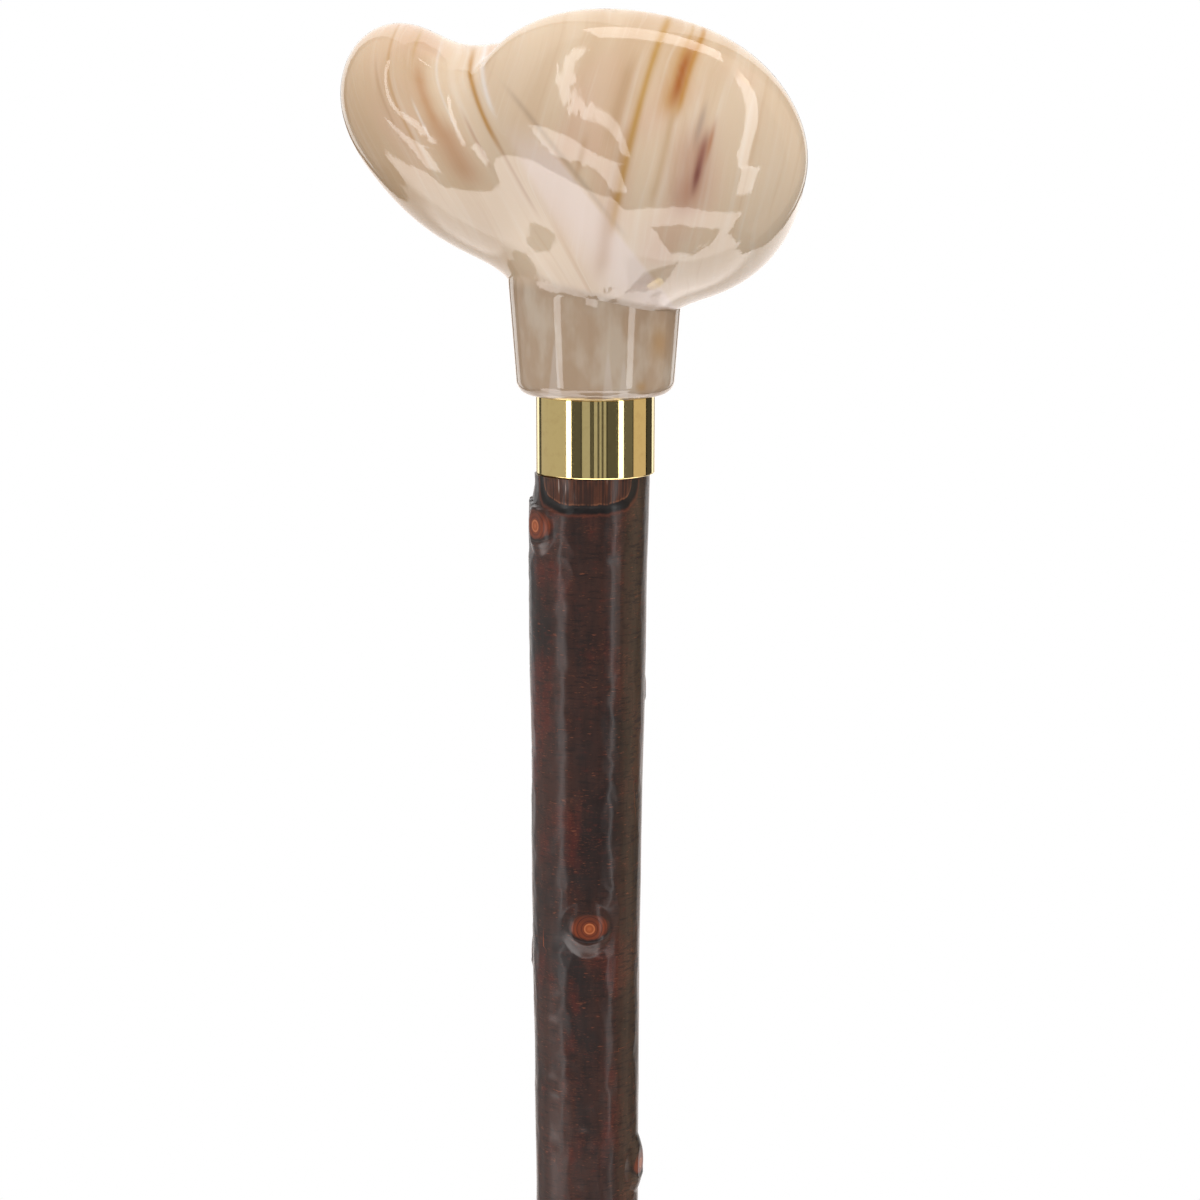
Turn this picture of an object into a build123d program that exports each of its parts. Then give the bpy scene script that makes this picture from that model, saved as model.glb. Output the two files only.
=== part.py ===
from build123d import *
import math
import os
from dataclasses import dataclass

# Walking stick with a hand-shaped grip
#
# A stick in the shillelagh tradition: a bark-on hardwood shaft with pruned knots, a brass collar and
# a moulded acrylic grip shaped to the palm. The origin is the centre of the ferrule's ground face.
# +Z runs up the shaft, -X to the nose of the grip, +X to its heel, and -Y to the side that the palm
# swells towards. Lengths are millimetres and angles are degrees.

# Overall height, from the ground to the crown of the palm swell
STICK_HEIGHT = 915.0
GRIP_HEIGHT = 76.8          # crown of the grip above the foot of its neck
NECK_FOOT_Z = STICK_HEIGHT - GRIP_HEIGHT


@dataclass(frozen=True)
class Lobe:
    """An ellipsoid of the grip: centre from the neck's foot, half axes, slope down to the heel, yaw."""
    centre: tuple
    half: tuple
    slope: float = 0.0
    yaw: float = 0.0

    def distance(self, point):
        """Return the rough distance from the lobe's surface to a point, negative inside."""
        dx, dy, dz = (p - c for p, c in zip(point, self.centre))
        cosine, sine = math.cos(math.radians(self.slope)), math.sin(math.radians(self.slope))
        along, up = cosine * dx - sine * dz, sine * dx + cosine * dz
        cosine, sine = math.cos(math.radians(self.yaw)), math.sin(math.radians(self.yaw))
        local = (cosine * along + sine * dy, cosine * dy - sine * along, up)
        scaled = [value / size for value, size in zip(local, self.half)]
        radius = math.hypot(*scaled)
        steepness = math.hypot(*(value / size for value, size in zip(scaled, self.half)))
        if steepness < 1e-9:
            return -min(self.half)
        return radius * (radius - 1.0) / steepness


# Grip: six lobes that flow into each other
PALM_SWELL = Lobe(centre=(8.5, -16.5, 54.0), half=(32.5, 13.5, 21.5), slope=18.0, yaw=-9.0)
HEEL = Lobe(centre=(17.0, -6.5, 45.5), half=(23.5, 27.5, 25.5), slope=-9.0, yaw=-11.0)
NOSE = Lobe(centre=(-38.5, 5.0, 59.5), half=(12.0, 13.5, 14.0), slope=-12.0)
FINGER_ROOT = Lobe(centre=(-21.0, 3.5, 46.0), half=(27.0, 19.0, 18.0), slope=30.0, yaw=-3.0)
NECK_ROOT = Lobe(centre=(1.5, -0.5, 31.5), half=(19.5, 20.5, 19.0), slope=20.0)
BRIDGE = Lobe(centre=(-14.0, 4.5, 58.5), half=(15.5, 11.0, 11.0), slope=-4.0)
GRIP_LOBES = (PALM_SWELL, HEEL, NOSE, FINGER_ROOT, NECK_ROOT, BRIDGE)
GRIP_BLEND = 3.0            # how softly the lobes flow together
NOSE_CORE = (-30.0, 6.0, 57.0)   # the grip's rings are struck from a point that slides from here
HEEL_CORE = (14.0, -3.0, 46.0)   # to here
GRIP_REACH = 70.0           # further from the core than any of the grip's skin
GRIP_RINGS = 18
GRIP_RING_POINTS = 28

# Neck of the grip, which widens upwards into the lobes
NECK_FOOT_RADIUS = 15.8
NECK_TOP_RADIUS = 17.7
NECK_HEIGHT = 25.0
NECK_RIM = 3.0              # rounding of the neck's foot

# Socket and joint in the neck
TENON_RADIUS = 8.0
TENON_LENGTH = 28.0
GLUE_GAP = 0.1              # radial gap of a glued joint
SOCKET_END_GAP = 1.0
STUD_RADIUS = 3.0
STUD_GAP = 0.05
STUD_GRIP_DEPTH = 12.0      # above the socket
STUD_SHAFT_DEPTH = 50.0     # below the neck's foot
STUD_CHAMFER = 0.8

# Brass collar
COLLAR_RADIUS = 12.05
COLLAR_WALL = 0.65
COLLAR_HEIGHT = 16.0
COLLAR_BEVEL = 0.25

# Shaft: the girth falls off fast below the collar and hardly at all near the ground
BARK_STEP = 0.3             # the bark stands out past the collar by this much
SHAFT_TOP_RADIUS = COLLAR_RADIUS + BARK_STEP
SHAFT_TIP_RADIUS = 9.8
TAPER_LENGTH = 170.0
TOP_LEAN = -1.3             # the wood's centre lies this far to the nose side under the collar
WANDER_X = -0.8
WANDER_Y = 1.5
SHAFT_SECTIONS = 16
PARING_LENGTH = 5.5         # bark pared back below the collar
PARING_DEPTH = 0.75
PARING_TILT = 6.0

# Pruned knots: distance below the neck's foot, direction round the shaft from +X, radius of the
# swelling, and how far it stands proud
KNOT_HALF_LENGTH = 13.0
KNOT_FACE_DEPTH = 0.45      # the branch is cut off this far below the crown of its swelling
TOP_KNOTS = (
    (26.0, 213.0, 6.0, 1.1),
    (61.0, 25.0, 6.5, 0.9),
    (109.0, 270.0, 6.5, 1.2),
    (118.0, 160.0, 5.5, 0.8),
    (163.0, 345.0, 6.5, 1.3),
)
LOWER_KNOT_START = 205.0    # the hidden length goes on with knots in a spiral
LOWER_KNOT_PITCH = 84.0
LOWER_KNOT_TURN = 137.5
LOWER_KNOT_RADIUS = 6.0
LOWER_KNOT_PROUD = 1.0
KNOT_CLEAR = 30.0           # bare shaft above the turned end

# Turned end of the shaft and the rubber ferrule on it
TURNED_RADIUS = 9.0
TURNED_LENGTH = 31.5
FERRULE_FIT = 0.05          # radial running clearance on the turned end
SOLE_THICKNESS = 11.0
WASHER_THICKNESS = 1.5
WASHER_RADIUS = 8.7
WASHER_HOLE_RADIUS = 2.6
FERRULE_HEIGHT = 42.0
SOLE_RADIUS = 17.5
SOLE_EDGE = 3.5             # height of the sole's upright edge
SKIRT_HEIGHT = 17.0         # where the flared skirt meets the cup
CUP_RADIUS = 12.6
CUP_TOP_RADIUS = 11.6
BEAD_HEIGHT = 0.8           # raised rings round the cup
BEAD_WIDTH = 2.4
BEAD_COUNT = 3
BEAD_PITCH = 5.0
MOUTH_CHAMFER = 0.6
TREAD_DEPTH = 2.2
TREAD_WIDTH = 1.8
TREAD_RADII = (6.5, 11.5)
TREAD_NOTCHES = 12
TREAD_NOTCH_LENGTH = 3.6

SHAFT_END_Z = SOLE_THICKNESS + WASHER_THICKNESS
BARK_FOOT_Z = SHAFT_END_Z + TURNED_LENGTH
COLLAR_FOOT_Z = NECK_FOOT_Z - COLLAR_HEIGHT
BARK_LENGTH = COLLAR_FOOT_Z - BARK_FOOT_Z
COLLAR_BORE_RADIUS = COLLAR_RADIUS - COLLAR_WALL


def grip_distance(point):
    """Return the distance from the blended grip's skin to a point, negative inside."""
    depths = [lobe.distance(point) for lobe in GRIP_LOBES]
    nearest = min(depths)
    spread = sum(math.exp((nearest - depth) / GRIP_BLEND) for depth in depths)
    return nearest - GRIP_BLEND * math.log(spread)


def grip_skin_point(turn, around):
    """Return the skin's point: turn runs from 0 at the nose to pi at the heel, around is the ring."""
    share = (1.0 - math.cos(turn)) / 2.0
    core = [nose + (heel - nose) * share for nose, heel in zip(NOSE_CORE, HEEL_CORE)]
    way = (-math.cos(turn), math.sin(turn) * math.cos(around), math.sin(turn) * math.sin(around))
    near, far = 0.0, GRIP_REACH
    for _ in range(40):
        middle = (near + far) / 2.0
        inside = grip_distance([c + w * middle for c, w in zip(core, way)]) < 0.0
        near, far = (middle, far) if inside else (near, middle)
    x, y, z = (c + w * near for c, w in zip(core, way))
    return Vector(x, y, z + NECK_FOOT_Z)


def grip_lobes():
    """Loft the grip's skin through rings struck from its core, from the nose to the heel.

    Each ring is one smooth closed curve, halved at its top and bottom, so the skin has two faces
    that meet along the grip's crown and underside.
    """
    rings = []
    for index in range(1, GRIP_RINGS + 1):
        turn = math.pi * index / (GRIP_RINGS + 1)
        points = [grip_skin_point(turn, math.pi / 2.0 + 2.0 * math.pi * step / GRIP_RING_POINTS)
                  for step in range(GRIP_RING_POINTS)]
        ring = Edge.make_spline(points, periodic=True)
        underside = ring.param_at_point(points[GRIP_RING_POINTS // 2])
        rings.append(Wire([ring.trim(0.0, underside), ring.trim(underside, 1.0)]))
    ends = [Vertex(*grip_skin_point(turn, 0.0)) for turn in (0.0, math.pi)]
    return Solid.make_loft([ends[0], *rings, ends[1]])


def neck():
    """Revolve the neck, with its foot rounded, up into the lobes."""
    with BuildPart() as part:
        with BuildSketch(Plane.XZ) as outline:
            with BuildLine():
                Polyline((0, 0), (NECK_FOOT_RADIUS, 0), (NECK_TOP_RADIUS, NECK_HEIGHT),
                         (0, NECK_HEIGHT), close=True)
            make_face()
            foot = outline.vertices().sort_by(Axis.Y)[:2].sort_by(Axis.X)[-1]
            fillet(foot, NECK_RIM)
        revolve(axis=Axis.Z)
    return Pos(0, 0, NECK_FOOT_Z) * part.part


def rod(radius, length, foot_z):
    """Return an upright cylinder on the shaft's axis."""
    return Pos(0, 0, foot_z) * Cylinder(radius, length, align=(Align.CENTER, Align.CENTER, Align.MIN))


def handle():
    """Moulded acrylic grip with its neck, the tenon's socket and the stud's pilot hole."""
    socket_length = TENON_LENGTH + SOCKET_END_GAP
    grip = grip_lobes() + neck()
    grip -= rod(TENON_RADIUS + GLUE_GAP, socket_length, NECK_FOOT_Z)
    grip -= rod(STUD_RADIUS + STUD_GAP, STUD_GRIP_DEPTH + SOCKET_END_GAP, NECK_FOOT_Z + socket_length)
    return grip


def collar():
    """Brass sleeve between the neck and the bark, with its rims bevelled."""
    tube = rod(COLLAR_RADIUS, COLLAR_HEIGHT, COLLAR_FOOT_Z) - rod(COLLAR_BORE_RADIUS, COLLAR_HEIGHT,
                                                                  COLLAR_FOOT_Z)
    rims = tube.edges().filter_by(GeomType.CIRCLE).sort_by(SortBy.RADIUS)[-2:]
    return chamfer(rims, COLLAR_BEVEL)


def joint_stud():
    """Steel stud through the tenon into the grip."""
    foot_z = NECK_FOOT_Z - STUD_SHAFT_DEPTH
    length = STUD_SHAFT_DEPTH + TENON_LENGTH + SOCKET_END_GAP + STUD_GRIP_DEPTH
    stud = rod(STUD_RADIUS, length, foot_z)
    return chamfer(stud.edges().filter_by(GeomType.CIRCLE), STUD_CHAMFER)


def wood_radius(depth):
    """Return the bark's radius at a distance below the collar."""
    return SHAFT_TIP_RADIUS + (SHAFT_TOP_RADIUS - SHAFT_TIP_RADIUS) * math.exp(-depth / TAPER_LENGTH)


def wood_centre(depth):
    """Return the wood's centre at a distance below the collar, which wanders and ends on the axis."""
    share = depth / BARK_LENGTH
    x = TOP_LEAN * (1.0 - share) + WANDER_X * math.sin(3.0 * math.pi * share)
    y = WANDER_Y * math.sin(2.0 * math.pi * share)
    return Vector(x, y, COLLAR_FOOT_Z - depth)


def bark():
    """Loft the bark-on length through round sections that taper and wander."""
    sections = []
    for index in range(SHAFT_SECTIONS):
        depth = BARK_LENGTH * index / (SHAFT_SECTIONS - 1)
        sections.append(Plane(wood_centre(depth)) * Circle(wood_radius(depth)))
    return loft(sections)


def knots():
    """Return each knot: distance below the collar, direction, swelling radius and how proud it is."""
    rows = [(below - COLLAR_HEIGHT, way, radius, proud) for below, way, radius, proud in TOP_KNOTS]
    room = BARK_LENGTH - KNOT_CLEAR - (LOWER_KNOT_START - COLLAR_HEIGHT)
    for index in range(int(room // LOWER_KNOT_PITCH) + 1):
        depth = LOWER_KNOT_START - COLLAR_HEIGHT + index * LOWER_KNOT_PITCH
        rows.append((depth, index * LOWER_KNOT_TURN, LOWER_KNOT_RADIUS, LOWER_KNOT_PROUD))
    return rows


def swelling(radius):
    """Return the spindle of a knot, lying along the shaft's direction."""
    with BuildPart() as part:
        with BuildSketch(Plane.XZ):
            with BuildLine():
                ThreePointArc((0, -KNOT_HALF_LENGTH), (radius, 0), (0, KNOT_HALF_LENGTH))
                Line((0, KNOT_HALF_LENGTH), (0, -KNOT_HALF_LENGTH))
            make_face()
        revolve(axis=Axis.Z)
    return part.part


def pruned_knot(depth, way, radius, proud):
    """Return a knot's swelling in its place on the bark, with the branch cut off flat."""
    crown = wood_radius(depth) + proud
    knot = Pos(crown - radius, 0, 0) * swelling(radius)
    knot -= Pos(crown - KNOT_FACE_DEPTH, 0, 0) * Box(
        radius, 4 * radius, 4 * radius, align=(Align.MIN, Align.CENTER, Align.CENTER))
    return Pos(wood_centre(depth)) * Rot(0, 0, way) * knot


def shaft():
    """Bark-on shaft with its knots, pared end, spigot, tenon, stud hole and turned end."""
    wood = bark() + [pruned_knot(*row) for row in knots()]
    wood -= paring()
    spigot = rod(COLLAR_BORE_RADIUS - GLUE_GAP, COLLAR_HEIGHT, COLLAR_FOOT_Z)
    tenon = rod(TENON_RADIUS, TENON_LENGTH, NECK_FOOT_Z)
    turned_end = rod(TURNED_RADIUS, TURNED_LENGTH, SHAFT_END_Z)
    wood += [spigot, tenon, turned_end]
    wood -= rod(STUD_RADIUS + STUD_GAP, STUD_SHAFT_DEPTH + TENON_LENGTH, NECK_FOOT_Z - STUD_SHAFT_DEPTH)
    return wood


def paring():
    """Return the ring that the knife takes off below the collar, lower at the front."""
    outer = SHAFT_TOP_RADIUS + 3.0 * PARING_DEPTH
    core = Cone(SHAFT_TOP_RADIUS, SHAFT_TOP_RADIUS - PARING_DEPTH, PARING_LENGTH,
                align=(Align.CENTER, Align.CENTER, Align.MIN))
    ring = Cylinder(outer, PARING_LENGTH, align=(Align.CENTER, Align.CENTER, Align.MIN)) - core
    top = wood_centre(0.0)
    return Pos(top.X / 2.0, 0, COLLAR_FOOT_Z - PARING_LENGTH) * Rot(PARING_TILT, 0, 0) * ring


def ferrule():
    """Rubber ferrule: flared skirt, ringed cup and notched tread."""
    with BuildPart() as part:
        with BuildSketch(Plane.XZ):
            with BuildLine():
                Polyline((0, 0), (SOLE_RADIUS - 1, 0), (SOLE_RADIUS, 1), (SOLE_RADIUS, SOLE_EDGE))
                ThreePointArc((SOLE_RADIUS, SOLE_EDGE), (CUP_RADIUS + 1.6, SKIRT_HEIGHT / 2),
                              (CUP_RADIUS, SKIRT_HEIGHT))
                Polyline((CUP_RADIUS, SKIRT_HEIGHT), (CUP_TOP_RADIUS, FERRULE_HEIGHT),
                         (0, FERRULE_HEIGHT), (0, 0))
            make_face()
        revolve(axis=Axis.Z)
    rubber = part.part
    lean = (CUP_RADIUS - CUP_TOP_RADIUS) / (FERRULE_HEIGHT - SKIRT_HEIGHT)
    for index in range(BEAD_COUNT):
        drop = index * BEAD_PITCH
        foot = CUP_TOP_RADIUS + lean * drop
        ring = Cone(foot + BEAD_HEIGHT, foot, BEAD_WIDTH, align=(Align.CENTER, Align.CENTER, Align.MAX))
        rubber += Pos(0, 0, FERRULE_HEIGHT - drop) * ring
    bore_radius = TURNED_RADIUS + FERRULE_FIT
    rubber -= rod(bore_radius, FERRULE_HEIGHT - SOLE_THICKNESS, SOLE_THICKNESS)
    rubber -= Pos(0, 0, FERRULE_HEIGHT - MOUTH_CHAMFER) * Cone(
        bore_radius, bore_radius + MOUTH_CHAMFER, MOUTH_CHAMFER, align=(Align.CENTER, Align.CENTER, Align.MIN))
    for radius in TREAD_RADII:
        rubber -= rod(radius + TREAD_WIDTH / 2, TREAD_DEPTH, 0) - rod(radius - TREAD_WIDTH / 2, TREAD_DEPTH, 0)
    notch = Pos(SOLE_RADIUS, 0, 0) * Box(2 * TREAD_NOTCH_LENGTH, TREAD_WIDTH, 2 * TREAD_DEPTH)
    for index in range(TREAD_NOTCHES):
        rubber -= Rot(0, 0, 360.0 * index / TREAD_NOTCHES) * notch
    return rubber


def ferrule_washer():
    """Steel washer on the floor of the ferrule's bore, which keeps the wood from cutting through."""
    return rod(WASHER_RADIUS, WASHER_THICKNESS, SOLE_THICKNESS) - rod(WASHER_HOLE_RADIUS,
                                                                      WASHER_THICKNESS, SOLE_THICKNESS)


NODES = {
    "handle": handle,
    "collar": collar,
    "shaft": shaft,
    "joint_stud": joint_stud,
    "ferrule": ferrule,
    "ferrule_washer": ferrule_washer,
}

os.makedirs("parts", exist_ok=True)
for name, make in NODES.items():
    solid = make()
    solid.label = name
    export_step(solid, f"parts/{name}.step")
    box = solid.bounding_box()
    print(f"{name}: {len(solid.solids())} solid, {solid.volume / 1000:.1f} cm3, "
          f"z {box.min.Z:.2f} to {box.max.Z:.2f}")
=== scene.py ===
"""Looks of a walking stick with a hand-shaped grip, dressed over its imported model.

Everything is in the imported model's frame: +Z runs up the shaft, -X points to the nose of the grip,
+X to its heel, and -Y to the side that the camera sees. Meshes are in metres. Sizes of the finishes,
and the fields that say so, are in millimetres.
"""

from __future__ import annotations

import logging
import math
from collections.abc import Callable, Iterator, Sequence
from contextlib import contextmanager
from dataclasses import dataclass, field
from enum import Enum

import bmesh
import bpy
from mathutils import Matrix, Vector


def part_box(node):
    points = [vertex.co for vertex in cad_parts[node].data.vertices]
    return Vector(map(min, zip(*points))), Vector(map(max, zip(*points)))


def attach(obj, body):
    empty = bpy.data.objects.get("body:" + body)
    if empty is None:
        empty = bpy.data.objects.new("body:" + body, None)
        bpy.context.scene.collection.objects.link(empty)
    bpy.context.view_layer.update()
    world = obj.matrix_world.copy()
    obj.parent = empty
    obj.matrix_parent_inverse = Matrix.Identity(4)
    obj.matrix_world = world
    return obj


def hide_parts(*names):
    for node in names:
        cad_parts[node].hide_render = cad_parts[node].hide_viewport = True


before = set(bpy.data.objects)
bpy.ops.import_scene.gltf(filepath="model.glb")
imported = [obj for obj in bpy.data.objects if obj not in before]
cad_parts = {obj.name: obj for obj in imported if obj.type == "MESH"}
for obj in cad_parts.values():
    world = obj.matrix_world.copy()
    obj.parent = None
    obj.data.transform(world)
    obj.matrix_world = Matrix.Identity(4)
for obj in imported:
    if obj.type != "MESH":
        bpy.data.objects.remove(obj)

LOG = logging.getLogger("walking_stick")
MM = 0.001

Colour = tuple[float, float, float, float]
Test = Callable[[Vector, Vector], bool]


class Body(Enum):
    """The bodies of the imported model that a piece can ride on."""

    STICK = "stick"
    TIP = "tip"


class Slot(Enum):
    """The material slots of the record."""

    ACRYLIC = "marbled_acrylic"
    BRASS = "polished_brass"
    BARK = "bark_on_wood"
    STEEL = "zinc_steel"
    RUBBER = "black_rubber"


class Pick(Enum):
    """What a selection in edit mode is made of."""

    EDGES = "EDGE"
    FACES = "FACE"


class Note(Enum):
    """What is kept for each point of a piece."""

    NUMBER = "FLOAT"
    VECTOR = "FLOAT_VECTOR"


def paint(red: float, green: float, blue: float) -> Colour:
    """Return a colour for a shader from the screen values that a painter would give.

    Args:
        red: Red from 0 to 255.
        green: Green from 0 to 255.
        blue: Blue from 0 to 255.

    Returns:
        The colour in linear light, with an alpha of 1.
    """
    def linear(value: float) -> float:
        """Return one channel in linear light."""
        share = value / 255.0
        return share / 12.92 if share <= 0.04045 else ((share + 0.055) / 1.055) ** 2.4

    return linear(red), linear(green), linear(blue), 1.0


class Signal:
    """A number that varies over a surface, held by one output socket."""

    def __init__(self, nodes: Nodes, socket: bpy.types.NodeSocket) -> None:
        """Wrap an output socket of a node tree."""
        self.nodes = nodes
        self.socket = socket

    def _math(self, operation: str, *values: Signal | float) -> Signal:
        """Return the value of a new Math node, given its operation and its inputs in order."""
        node = self.nodes.add("ShaderNodeMath", {"operation": operation}, dict(enumerate(values)))
        return Signal(self.nodes, node.outputs[0])

    def __add__(self, other: Signal | float) -> Signal:
        """Return the sum."""
        return self._math("ADD", self, other)

    def __radd__(self, other: float) -> Signal:
        """Return the sum."""
        return self._math("ADD", other, self)

    def __sub__(self, other: Signal | float) -> Signal:
        """Return the difference."""
        return self._math("SUBTRACT", self, other)

    def __rsub__(self, other: float) -> Signal:
        """Return the difference from a number."""
        return self._math("SUBTRACT", other, self)

    def __mul__(self, other: Signal | float) -> Signal:
        """Return the product."""
        return self._math("MULTIPLY", self, other)

    def __rmul__(self, other: float) -> Signal:
        """Return the product."""
        return self._math("MULTIPLY", other, self)

    def __truediv__(self, other: Signal | float) -> Signal:
        """Return the quotient."""
        return self._math("DIVIDE", self, other)

    def __rtruediv__(self, other: float) -> Signal:
        """Return the quotient of a number."""
        return self._math("DIVIDE", other, self)

    def __abs__(self) -> Signal:
        """Return the size without its sign."""
        return self._math("ABSOLUTE", self)

    def least(self, other: Signal | float) -> Signal:
        """Return the lesser of two."""
        return self._math("MINIMUM", self, other)

    def most(self, other: Signal | float) -> Signal:
        """Return the greater of two."""
        return self._math("MAXIMUM", self, other)

    def call(self, operation: str, *others: Signal | float) -> Signal:
        """Return a Math node's operation that has no sign of its own."""
        return self._math(operation, self, *others)

    def rise(self, low: float, high: float) -> Signal:
        """Return a smooth step from 0 at low to 1 at high, or down where low is the greater.

        Args:
            low: The value that gives 0.
            high: The value that gives 1.

        Returns:
            The step.
        """
        if low > high:
            return 1.0 - self.rise(high, low)
        node = self.nodes.add("ShaderNodeMapRange", {"interpolation_type": "SMOOTHSTEP"},
                              {"Value": self, "From Min": low, "From Max": high})
        return Signal(self.nodes, node.outputs["Result"])

    def bell(self, centre: Signal | float, width: Signal | float) -> Signal:
        """Return a soft peak of 1 at the centre, down to about a third one width from it."""
        offset = (self - centre) / width
        return (0.0 - offset * offset).call("EXPONENT")


Place = tuple[Signal, Signal, Signal]


class Nodes:
    """A node tree, with one method that adds any node."""

    def __init__(self, tree: bpy.types.NodeTree) -> None:
        """Empty a material's or the world's node tree and take it over."""
        self.tree = tree
        tree.nodes.clear()

    def add(self, kind: str, settings: dict[str, object] | None = None,
            inputs: dict[str | int, object] | None = None) -> bpy.types.Node:
        """Add a node, set it, then fill or link its sockets.

        Args:
            kind: The node's type.
            settings: Its properties, and "stops" for a ramp: a list of place and colour.
            inputs: A value, socket or signal for each socket, by its name or number.

        Returns:
            The node.
        """
        node = self.tree.nodes.new(kind)
        for name, value in (settings or {}).items():
            if name == "stops":
                elements = node.color_ramp.elements
                while len(elements) < len(value):
                    elements.new(0.5)
                for element, (place, colour) in zip(elements, value):
                    element.position = place
                    element.color = colour
            else:
                setattr(node, name, value)
        for name, value in (inputs or {}).items():
            if isinstance(value, Signal):
                value = value.socket
            if isinstance(value, bpy.types.NodeSocket):
                self.tree.links.new(value, node.inputs[name])
            else:
                node.inputs[name].default_value = value
        return node

    def split(self, vector: bpy.types.NodeSocket) -> Place:
        """Return a vector's three numbers."""
        outputs = self.add("ShaderNodeSeparateXYZ", inputs={"Vector": vector}).outputs
        return Signal(self, outputs[0]), Signal(self, outputs[1]), Signal(self, outputs[2])

    def join(self, x: Signal | float, y: Signal | float, z: Signal | float) -> bpy.types.NodeSocket:
        """Return a vector of three numbers."""
        return self.add("ShaderNodeCombineXYZ", inputs={0: x, 1: y, 2: z}).outputs[0]

    def place(self, origin: Vector) -> Place:
        """Return the surface's place in millimetres from an origin in metres.

        Args:
            origin: The point that the place is measured from.

        Returns:
            The place along X, Y and Z.
        """
        coordinates = self.add("ShaderNodeTexCoord").outputs["Object"]
        size = (1.0 / MM,) * 3
        shifted = self.add("ShaderNodeMapping", inputs={
            "Vector": coordinates, "Location": tuple(-value / MM for value in origin), "Scale": size})
        return self.split(shifted.outputs["Vector"])

    def noise(self, place: Sequence[Signal | float], pitch: Sequence[float], detail: float = 2.0,
              roughness: float = 0.5, shift: Sequence[float] = (0.0, 0.0, 0.0)) -> Signal:
        """Return smooth noise around 0.5.

        Args:
            place: The three numbers that it is read by.
            pitch: How many of its lumps fit in one unit of each.
            detail: How many finer layers it has.
            roughness: How strong the finer layers are.
            shift: How far it is moved along each.

        Returns:
            The noise.
        """
        parts = [part * step + move if move else part * step
                 for part, step, move in zip(place, pitch, shift)]
        node = self.add("ShaderNodeTexNoise", inputs={
            "Vector": self.join(*parts), "Scale": 1.0, "Detail": detail, "Roughness": roughness})
        return Signal(self, node.outputs["Fac"])

    def mix(self, first: object, second: object, share: Signal | float) -> bpy.types.NodeSocket:
        """Return the first colour with a share of the second, from 0 to 1, mixed in."""
        node = self.add("ShaderNodeMix", {"data_type": "RGBA"}, {0: share, 6: first, 7: second})
        return node.outputs[2]

    def layers(self, colour: object, *over: tuple[object, Signal]) -> bpy.types.NodeSocket:
        """Return a colour with others laid over it in turn.

        Args:
            colour: The lowest colour.
            over: The colours over it from the lowest up, each with its share from 0 to 1.

        Returns:
            The colour that is seen.
        """
        for layer, share in over:
            colour = self.mix(colour, layer, share)
        return colour

    def ramp(self, value: Signal, stops: Sequence[tuple[float, Colour]]) -> bpy.types.NodeSocket:
        """Return the colour that a ramp, given by its places and colours, has at a value."""
        return self.add("ShaderNodeValToRGB", {"stops": stops}, {"Fac": value}).outputs["Color"]

    def bump(self, height: Signal, distance: float) -> bpy.types.NodeSocket:
        """Return the normal of a surface with relief from 0 to 1, so many millimetres high."""
        inputs = {"Height": height, "Distance": distance * MM, "Strength": 1.0}
        return self.add("ShaderNodeBump", inputs=inputs).outputs["Normal"]

    def surface(self, constants: dict[str, object], **varying: object) -> None:
        """End a material with a Principled shader.

        Args:
            constants: The shader's sockets that are the same all over, by name.
            varying: The sockets that vary, by name with underscores for spaces.
        """
        inputs = dict(constants)
        inputs.update({name.replace("_", " "): value for name, value in varying.items()})
        shader = self.add("ShaderNodeBsdfPrincipled", inputs=inputs)
        self.add("ShaderNodeOutputMaterial", inputs={"Surface": shader.outputs["BSDF"]})


@dataclass(frozen=True)
class Finish:
    """What a surface is made of and how it looks."""

    name: str

    def material(self) -> bpy.types.Material:
        """Return a new material with the finish."""
        made = bpy.data.materials.new(self.name)
        made.use_nodes = True
        self.dress(Nodes(made.node_tree))
        return made

    def dress(self, nodes: Nodes) -> None:
        """Fill the material's node tree."""
        raise NotImplementedError


@dataclass(frozen=True)
class Vein:
    """A coloured streak along the flow of the egg-shaped lobe, in millimetres; all are veins in the
    acrylic but one, a painted highlight.
    """

    flow: float
    width: float
    foot: float
    head: float
    colour: Colour
    strength: float
    soft: float = 3.0


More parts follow.
